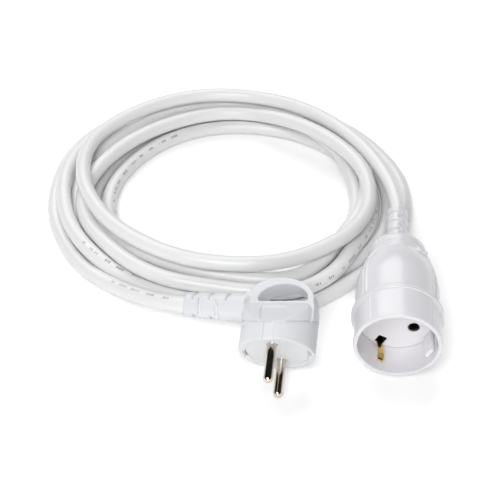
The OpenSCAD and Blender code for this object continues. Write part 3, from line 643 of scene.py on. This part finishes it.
def carvedRoof(local):
    # near the plane of a sloping roof a point moves to restDeep below it inside the thumb rest, whose
    # outline is a rounded rectangle, and to the plane around it; a line is cut behind the collar's
    # rear edge, z = collarRear - slant * |y|; the body swells to the collar's radius under the boot
    r = roof
    low, high = np.array(r["low"]), np.array(r["high"])
    slope = (high - low) / np.linalg.norm(high - low)
    x, side, z = local[:, 0], np.sign(local[:, 1]), local[:, 2]
    y = np.abs(local[:, 1])
    run = (y - low[0]) * slope[0] + (z - low[1]) * slope[1]
    off = (y - low[0]) * slope[1] - (z - low[1]) * slope[0]
    across = np.abs(x - r["restAt"] - r["restSkew"] * run) - r["restHalf"] + r["corner"]
    past = run - r["restLong"] + r["corner"]
    edge = roundedEdge(across, past, r["corner"])
    target = -r["restDeep"] * (1 - ramp(edge, *r["restEdge"]))
    reach = np.hypot(x, y)
    onRoof = (np.abs(x) < r["half"]) * (reach < r["collar"] - r["inset"])
    onRoof = onRoof * (off > r["under"]) * (off < r["over"]) * (run > r["start"]) * (run < r["stop"])
    push = onRoof * ramp(run, r["start"], r["start"] + 0.5) * (target - off)
    behind = z - (r["collarRear"] - r["slant"] * y)
    line = np.exp(-((behind - r["lineAt"]) / r["lineWide"]) ** 2)
    line = line * (reach > r["collar"] - r["lineInset"]) * (x < r["lineTo"])
    swell = ramp(x, *r["swellX"]) * (1 - ramp(y, *r["swellY"])) * (behind > -0.1)
    swell *= (reach > r["swellReach"][0]) * (reach < r["swellReach"][1]) * (z < r["swellTop"])
    scale = (swell * (r["collar"] + r["swellOut"] - reach) - r["lineDeep"] * line) / np.maximum(reach, 1.0)
    moved = local.copy()
    moved[:, 0] += scale * x
    moved[:, 1] += side * (scale * y + push * slope[1])
    moved[:, 2] -= push * slope[0]
    return moved


def carvedBody(points):
    # the roofs first, then the boot, both in mm in the plug's own axes
    local = (points - plugOrigin) @ plugAxes.T / mm
    return onPlug(carvedGrip(carvedRoof(local)) * mm)


bodyShape = {"cell": 0.40, "passes": 2}                                              # mm
faceShape = {"cell": 0.25, "passes": 1, "wallFrom": 15.0, "disc": 15.4, "room": 15.58}   # mm


def closedFace(points):
    # the disc's outer wall moves out to the body, radius * room / disc, so that no gap shows round it
    f = faceShape
    local = (points - plugOrigin) @ plugAxes.T / mm
    onWall = (np.hypot(local[:, 0], local[:, 1])[:, None] > f["wallFrom"]) & (local[:, 2:] > 0.0)
    wider = f["room"] / f["disc"]
    return onPlug(local * np.where(onWall, [wider, wider, 1.0], 1.0) * mm)


wallShape = {                        # mm, and the half turn in degrees, from straight under the boot
    "half": 32.0, "inner": 16.8, "outer": 18.15, "from": 6.0, "to": 18.8, "rows": 20,
}


def sideWall(s):
    # the body's wall under the boot: a rectangle of radius r and height z swept over the turn t,
    # at [r cos t, r sin t, z]
    turn = np.radians(np.linspace(-s["half"], s["half"], s["rows"]))[:, None]
    radius = np.array([s["inner"], s["outer"], s["outer"], s["inner"]])
    z = np.array([s["from"], s["from"], s["to"], s["to"]]) + 0.0 * turn
    points = onPlug(np.stack([radius * np.cos(turn), radius * np.sin(turn), z], axis=-1) * mm).reshape(-1, 3)
    i, j = np.meshgrid(np.arange(s["rows"] - 1) * 4, np.arange(4), indexing="ij")
    after = (j + 1) % 4
    faces = np.stack([i + j, i + after, i + 4 + after, i + 4 + j], axis=-1).reshape(-1, 4).tolist()
    last = 4 * s["rows"] - 4
    mesh = bpy.data.meshes.new("sideWall")
    mesh.from_pydata(points.tolist(), [], faces + [[3, 2, 1, 0], [last, last + 1, last + 2, last + 3]])
    work = bmesh.new()
    work.from_mesh(mesh)
    bmesh.ops.recalc_face_normals(work, faces=work.faces)
    work.to_mesh(mesh)
    work.free()
    return mesh


easedCopy("plug_body", "plugBody", plugPlastic, bodyShape, carvedBody, sideWall(wallShape))
easedCopy("plug_bridge", "plugFace", plugPlastic, faceShape, closedFace)
makePin(pinShape, 1, "pinLive", "plug_pin_live")
makePin(pinShape, -1, "pinNeutral", "plug_pin_neutral")
print("plug: made")


shellShape = {                       # mm and degrees; z runs back from the mouth
    "mouth": 19.5, "rim": 21.7, "sleeveBack": 22.2, "drum": 21.8, "drumEnd": 36.0,
    "neck": 15.2, "length": 62.0,
    "belt": 23.0, "beltAt": 19.5, "beltHalf": 1.1, "grooveDeep": 0.35, "grooveHalf": (0.3, 0.75),
    "frontPocket": 46.5, "rearPocket": 39.0, "pocketDeep": 0.6, "pocketEdge": (-0.9, 0.3),
    "front": ((1.4, 2.2), (17.2, 17.7)), "rear": ((21.4, 21.9), (55.5, 57.0)),   # both pockets in z
    "panel": {"from": (21.6, 22.4), "side": 39.6, "back": 55.2, "corner": 7.0, "sunk": 0.18},
    "bead": 0.38, "beadAt": 30.0, "beadWide": 0.55, "beadEnd": (53.0, 57.0),
    "frontBead": 0.7, "frontBeadOff": 0.4,
    "neckRing": {"from": 56.4, "to": 57.6, "floor": 15.1, "ring": 15.9, "ringBack": 15.5},
    "nicks": (45.0, 67.0, 137.0), "nickHalf": 2.4, "nickDeep": 0.7, "nickEnd": (0.9, 1.3),
    "latch": {"at": -53.0, "half": 14.0, "z": 53.9, "zHalf": 1.7, "height": 1.4},
    "lip": 0.55, "socketRows": (5.0, 11.0, 17.0, 17.4, 17.5),
    # [z, radius] of the inside behind the socket's wall
    "hollow": [[17.5, 19.9], [29.8, 19.9], [29.8, 18.0], [45.5, 18.0], [56.0, 9.6], [62.0, 9.6]],
    # rows of the outside from the back to the rim, closer together where it has edges
    "rows": [np.arange(62.0, 49.9, -0.2), np.linspace(49.0, 24.0, 36), np.arange(23.6, 16.6, -0.15),
             np.linspace(16.4, 2.6, 16), np.arange(2.4, 1.05, -0.15)],
}


def sideAngle(turn):
    # degrees from the nearest of the two sides, 0 and 180
    return np.abs((turn + 90.0) % 180.0 - 90.0)


def shellRadius(z, turn, s):
    # a sleeve that widens a little, a drum, then a bell: neck + (drum - neck) * cos(90 * share of the way).
    # The belt stands on both, with a shallow groove round its middle; pockets are taken from the sides;
    # beads stand along them and round the panel on top, exp(-(distance / beadWide)^2) high;
    # a groove sets off the ring in front of the flange, and a low bump stands on the bell's neck
    sleeve = s["rim"] + (s["sleeveBack"] - s["rim"]) * z / s["beltAt"]
    share = np.clip((z - s["drumEnd"]) / (s["length"] - s["drumEnd"]), 0.0, 1.0)
    bell = s["neck"] + (s["drum"] - s["neck"]) * np.cos(0.5 * np.pi * share)
    body = np.where(z < s["beltAt"], sleeve, bell)
    side = sideAngle(turn)
    inFront, inRear = within(z, *s["front"]), within(z, *s["rear"])
    for inPocket, half in ((inFront, s["frontPocket"]), (inRear, s["rearPocket"])):
        low, high = s["pocketEdge"]
        body = body - s["pocketDeep"] * inPocket * (1 - ramp(side, half + low, half + high))
    p = s["panel"]
    over = (p["side"] - side) * np.radians(1.0) * body + p["corner"]
    edge = roundedEdge(over, z - p["back"] + p["corner"], p["corner"])
    outline = np.exp(-(edge / s["beadWide"]) ** 2)
    beside = np.exp(-((side - s["beadAt"]) * np.radians(1.0) * body / s["beadWide"]) ** 2)
    frontAt = s["frontPocket"] + s["frontBeadOff"]
    front = np.exp(-((side - frontAt) * np.radians(1.0) * body / s["beadWide"]) ** 2)
    behind = ramp(z, *p["from"])
    beads = np.maximum(outline, beside * (1 - ramp(z, *s["beadEnd"]))) * behind
    body = body + s["bead"] * (beads + s["frontBead"] * front * inFront)
    body = body - p["sunk"] * (1 - ramp(edge, -0.8, 0.0)) * behind
    fromBelt = np.abs(z - s["beltAt"])
    onBelt = 1 - ramp(fromBelt, s["beltHalf"] - 0.1, s["beltHalf"] + 0.25)
    belt = s["belt"] - s["grooveDeep"] * (1 - ramp(fromBelt, *s["grooveHalf"]))
    body = body * (1 - onBelt) + belt * onBelt
    n = s["neckRing"]
    ring = n["ring"] + (n["ringBack"] - n["ring"]) * (z - n["to"]) / (s["length"] - n["to"])
    rise = ramp(z, n["to"] - 0.25, n["to"] + 0.25) * (1 - 0.5 * ramp(z, s["length"] - 0.4, s["length"]))
    ring = n["floor"] + (ring - n["floor"]) * rise
    inRing = ramp(z, n["from"] - 0.3, n["from"] + 0.3)
    body = body * (1 - inRing) + ring * inRing
    c = s["latch"]
    off = np.hypot(turnAway(turn, c["at"]) / c["half"], (z - c["z"]) / c["zHalf"])
    return body + c["height"] * (1 - ramp(off, 0.6, 1.0))


def turned(name, z, radius, turn, node, finish):
    # the point (r cos t, r sin t, z) of every row and column, the last row joined to the first
    t = np.radians(turn)
    ring = np.stack([radius * np.cos(t), radius * np.sin(t), np.broadcast_to(z, radius.shape)], axis=-1)
    piece = gridPiece(name, onCoupling(ring * mm), finish, wrapRows=True)
    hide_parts(node)


def shellColumns(s):
    # even steps of 1.5 degrees, and steps of 0.4 where the surface has an edge
    fine = np.arange(-2.4, 2.41, 0.4)
    edges = [side + sign * at for side in (0.0, 180.0) for sign in (-1, 1)
             for at in (s["frontPocket"], s["rearPocket"], s["beadAt"])]
    edges += [at + sign * s["nickHalf"] for at in s["nicks"] for sign in (-1, 1)]
    every = np.concatenate([np.arange(0.0, 360.0, 1.5)] + [at + fine for at in edges]) % 360.0
    return np.unique(np.round(every, 2))[None, :]


def makeShell(s):
    # one closed line, outside, lip, socket and hollow, turned about the axis
    turn = shellColumns(s)
    z = np.concatenate(s["rows"])[:, None]
    outer = shellRadius(z, turn, s)
    lip = easedCorners([[1.0, s["rim"]], [0.0, s["rim"] - 0.2], [0.0, s["mouth"]], [1.2, s["mouth"]]],
                       s["lip"], 7)
    line = np.vstack([lip, [[at, s["mouth"]] for at in s["socketRows"]], s["hollow"]])
    rows = np.vstack([z, line[:, :1]])
    radius = np.vstack([outer, np.broadcast_to(line[:, 1:], (len(line), turn.shape[1]))])
    # nicks in the rim: the radius stays below rim - nickDeep * (how far the point lies in a nick),
    # and 5 mm more, which is no limit, behind them
    low, high = s["nickHalf"] - 0.4, s["nickHalf"] + 0.4
    nick = np.max([1 - ramp(turnAway(turn, at), low, high) for at in s["nicks"]], axis=0)
    limit = s["rim"] - s["nickDeep"] * nick * (1 - ramp(rows, *s["nickEnd"])) + 5.0 * (rows > s["nickEnd"][1])
    turned("couplingShell", rows, np.minimum(radius, limit), turn, "coupling_shell", couplingPlastic)


flangeShape = {                      # mm and degrees; the line is [z, radius] from the boot to the bell
    "line": [[68.5, 6.4], [68.5, 12.6], [67.2, 14.8], [65.6, 15.3], [62.5, 15.4], [62.05, 14.9],
             [62.05, 6.4]],
    "seam": -140.0, "seamHalf": 1.6, "seamHeight": 0.3, "seamFrom": (12.0, 13.5),
}


def makeFlange(s):
    # the line turned about the axis, with a low ridge where the mould's halves meet
    line = easedCorners(s["line"], 0.5, 7)
    fine = (s["seam"] + np.arange(-3.0, 3.01, 0.4)) % 360.0
    turn = np.unique(np.round(np.concatenate([np.arange(0.0, 360.0, 2.0), fine]), 2))[None, :]
    ridge = 1 - ramp(turnAway(turn, s["seam"]), 0.2, s["seamHalf"])
    ridge = s["seamHeight"] * ridge * ramp(line[:, 1:], *s["seamFrom"])
    turned("couplingFlange", line[:, :1], line[:, 1:] + ridge, turn, "coupling_collar", couplingPlastic)


bootShape = {                        # mm and degrees
    "root": 9.2, "rootFrom": 56.4, "flangeBack": 68.5, "tail": 6.0, "foot": 7.0, "footLength": 4.0,
    "end": 100.5, "endRadius": 5.3, "bore": 4.4, "boreFrom": 76.5,
    "slots": 7, "pitch": 3.57, "slotLength": 1.6, "slotDeep": 0.9, "slotHalf": 55.0, "firstTurn": -125.0,
    "slotEdge": 0.2, "slotEnd": 4.0,    # over these mm and degrees a slot reaches its depth
    "boss": {"turn": -98.0, "z": 81.0, "radius": 1.5, "height": 0.15, "dimple": 0.6},
}


def makeBoot(s):
    # r(z) narrows over the foot, then stays; slot i takes slotDeep away over slotHalf degrees to both
    # sides of firstTurn + 90 i and of the turn opposite to it; a small boss with a dimple stands on it
    turn = np.arange(0.0, 360.0, 2.5)[None, :]
    z = np.concatenate([[s["rootFrom"], 61.9, 62.0], np.arange(62.2, s["end"] - 1.0, 0.2)])[:, None]
    foot = s["foot"] + (s["tail"] - s["foot"]) * ramp(z, s["flangeBack"], s["flangeBack"] + s["footLength"])
    radius = np.broadcast_to(np.where(z < 62.0, s["root"], np.where(z < s["flangeBack"], s["tail"], foot)),
                             (len(z), turn.shape[1])).copy()
    first = s["flangeBack"] + s["footLength"] + 0.5
    for i in range(s["slots"]):
        start = first + i * s["pitch"]
        stop = start + s["slotLength"]
        ease = s["slotEdge"]
        level = within(z, (start - ease, start + ease), (stop - ease, stop + ease))
        away = sideAngle(turn - s["firstTurn"] - 90.0 * i)
        radius -= s["slotDeep"] * level * (1 - ramp(away, s["slotHalf"] - s["slotEnd"], s["slotHalf"]))
    b = s["boss"]
    reach = np.hypot((z - b["z"]), np.radians(turnAway(turn, b["turn"])) * s["tail"])
    onBoss = 1 - ramp(reach, b["radius"] - 0.2, b["radius"] + 0.1)
    boss = s["tail"] + b["height"] - b["dimple"] * (1 - ramp(reach, 0.3, 0.7))
    radius = radius * (1 - onBoss) + boss * onBoss
    tail = easedCorners([[s["end"] - 1.0, s["tail"]], [s["end"], s["endRadius"]], [s["end"], s["bore"]],
                         [s["boreFrom"], s["bore"]], [s["boreFrom"], 3.0], [s["rootFrom"], 3.0]], 0.5)
    rows = np.vstack([z, tail[:, :1]])
    radius = np.vstack([radius, np.broadcast_to(tail[:, 1:], (len(tail), turn.shape[1]))])
    turned("couplingBoot", rows, radius, turn, "coupling_boot", couplingPlastic)


def markPaintedShade(piece, start, full):
    # the point attribute for painted shade rises from 0 at z = start to 1 at z = full, in mm behind the
    # mouth; it darkens what lies deep in the slots, where shade falls
    points = np.empty(len(piece.data.vertices) * 3)
    piece.data.vertices.foreach_get("co", points)
    z = (points.reshape(-1, 3) - couplingOrigin) @ couplingZ / mm
    piece.data.attributes.new("paintedShade", "FLOAT", "POINT").data.foreach_set("value", ramp(z, start, full))


strapShape = {                       # mm in the plane of the two leaf springs: [away from the axis, z]
    "leaf": [[17.5, 4.2], [16.5, 4.9], [15.9, 7.0], [15.8, 10.0], [16.5, 13.0], [17.3, 16.0], [17.4, 20.0],
             [17.4, 27.0], [17.3, 29.6], [16.7, 30.2]],
    # the last pair gives, in mm behind the mouth, where the strap's painted shade rises from none to full
    "wide": 3.5, "thick": 0.7, "turn": 26.0, "sides": 24, "paintedShade": (16.2, 17.6),
}
# the last pair gives, in mm behind the mouth, where the insert's painted shade rises from none to full
insertShape = {"cell": 0.25, "passes": 1, "paintedShade": (17.65, 18.2)}                     # mm


def makeStrap(s):
    # the path is one leaf, the crossbar and the other leaf mirrored; a flat bar with round edges is
    # carried along it: half width * sign(cos t) |cos t|^0.3, half thickness * sign(sin t) |sin t|^0.6
    leaf = np.array(s["leaf"])
    path = np.vstack([leaf, leaf[::-1] * [-1, 1]])
    path = smoothRoute(np.column_stack([np.zeros(len(path)), path]), 8)
    way = unit(np.gradient(path, axis=0))
    out = np.cross(way, [1.0, 0.0, 0.0])
    t = np.linspace(0.0, 2 * np.pi, s["sides"], endpoint=False)
    wide = 0.5 * s["wide"] * np.sign(np.cos(t)) * np.abs(np.cos(t)) ** 0.3
    thick = 0.5 * s["thick"] * np.sign(np.sin(t)) * np.abs(np.sin(t)) ** 0.6
    points = path[:, None] + wide[:, None] * np.array([1.0, 0.0, 0.0]) + thick[:, None] * out[:, None]
    a = math.radians(s["turn"])
    spin = np.array([[math.cos(a), math.sin(a), 0.0], [-math.sin(a), math.cos(a), 0.0], [0.0, 0.0, 1.0]])
    piece = gridPiece("couplingStrap", onCoupling(points @ spin * mm), brass, caps=True)
    # painted shade on the strap's part inside the slot
    markPaintedShade(piece, *s["paintedShade"])
    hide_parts("coupling_earth_strap")


makeShell(shellShape)
makeFlange(flangeShape)
makeBoot(bootShape)
makeStrap(strapShape)
insert = easedCopy("coupling_insert", "couplingInsert", insertPlastic, insertShape)
# painted shade in the insert's slots
markPaintedShade(insert, *insertShape["paintedShade"])
print("coupling: made")


nodeFinishes = {
    "plug_crimps": nickel, "plug_earth_strap": nickel, "coupling_crimps": nickel,
    "coupling_contact_live": nickel, "coupling_contact_neutral": nickel,
    "plug_core_live": brownCore, "plug_core_neutral": blueCore, "plug_core_earth": earthCore,
    "coupling_core_live": brownCore, "coupling_core_neutral": blueCore, "coupling_core_earth": earthCore,
}

for name, finish in nodeFinishes.items():
    mesh = frame["nodes"][name].data
    mesh.materials.clear()
    mesh.materials.append(finish)

onCoupling([0.0, 0.0, couplingPlace["length"]]).tolist()
print("nodes: dressed")


studio = {
    "floorReach": 3.0,
    "floorGlow": (0.25, 1.0), "glowFrom": (0.12, 0.36),   # near and far, and the distances between
    "horizon": 0.75,                 # strength of the world at the horizon
    "ceiling": (0.12, 0.42),         # between these heights it falls to nothing
    "lamps": {                       # azimuth, elevation, distance and size in metres, watts
        "key": (-6.0, 50.0, 1.2, 0.6, 8.8),
        "backLeft": (-158.0, 52.0, 1.3, 1.1, 10.4),
        "right": (116.0, 50.0, 1.2, 0.6, 0.4),
        "front": (8.0, 15.0, 1.1, 0.4, 1.6),
    },
}


def makeFloor(s):
    # a square of white paper, `floorReach` to each side
    mesh = bpy.data.meshes.new("floor")
    reach = s["floorReach"]
    corners = [(-reach, -reach, 0), (reach, -reach, 0), (reach, reach, 0), (-reach, reach, 0)]
    mesh.from_pydata(corners, [], [(0, 1, 2, 3)])
    floor = bpy.data.objects.new("floor", mesh)
    bpy.context.scene.collection.objects.link(floor)
    f = Finish("floorPaper", Base_Color=rgb(0.9, 0.9, 0.9), Roughness=0.9)
    f.surface.inputs["Specular IOR Level"].default_value = 0.0
    # the paper glows where it is looked at, straight or in a mirror or through glass: low + (high - low)
    # * the share of the way from near to far, by the distance from the view's target
    kinds = [f.put("ShaderNodeLightPath", out=kind)
             for kind in ("Is Camera Ray", "Is Glossy Ray", "Is Transmission Ray")]
    seen = (kinds[0] + kinds[1] + kinds[2]) > 0.5
    away = f.put("ShaderNodeVectorMath", {"operation": "DISTANCE"},
                 {0: f.put("ShaderNodeTexCoord", out="Object"), 1: view["target"]}, out="Value")
    near, far = s["glowFrom"]
    low, high = s["floorGlow"]
    glow = f.put("ShaderNodeMapRange", None, {"Value": away, "From Min": near, "From Max": far,
                                              "To Min": low, "To Max": high})
    f.join(f.surface.inputs["Emission Color"], f.mix(seen * glow, rgb(0.0, 0.0, 0.0), rgb(1.0, 1.0, 1.0)))
    f.surface.inputs["Emission Strength"].default_value = 1.0
    mesh.materials.append(f.material)


def areaLight(name, azimuth, elevation, distance, size, watts):
    # a square lamp that faces the view's target
    light = bpy.data.lights.new(name, "AREA")
    light.size, light.energy = size, watts
    holder = bpy.data.objects.new(name, light)
    bpy.context.scene.collection.objects.link(holder)
    holder.location = np.array(view["target"]) + distance * skyWay(azimuth, elevation)
    holder.rotation_euler = (math.radians(90.0 - elevation), 0.0, math.radians(azimuth))


def makeWorld(s):
    world = bpy.data.worlds.new("studio")
    world.use_nodes = True
    w = Nodes(world.node_tree)
    back = world.node_tree.nodes["Background"]
    back.inputs["Color"].default_value = rgb(1.0, 1.0, 1.0)
    # bright round the horizon and dark overhead, as in a room with a lit wall
    height = w.part(w.put("ShaderNodeTexCoord", out="Generated"), 2)
    low, high = s["ceiling"]
    overhead = w.put("ShaderNodeMapRange", None, {"Value": height, "From Min": low, "From Max": high})
    w.join(back.inputs["Strength"], s["horizon"] * (1 - overhead))
    bpy.context.scene.world = world


makeFloor(studio)
makeWorld(studio)
for lamp, where in studio["lamps"].items():
    areaLight(lamp, *where)
bpy.context.scene.view_settings.view_transform = "Standard"
print("studio: lit")
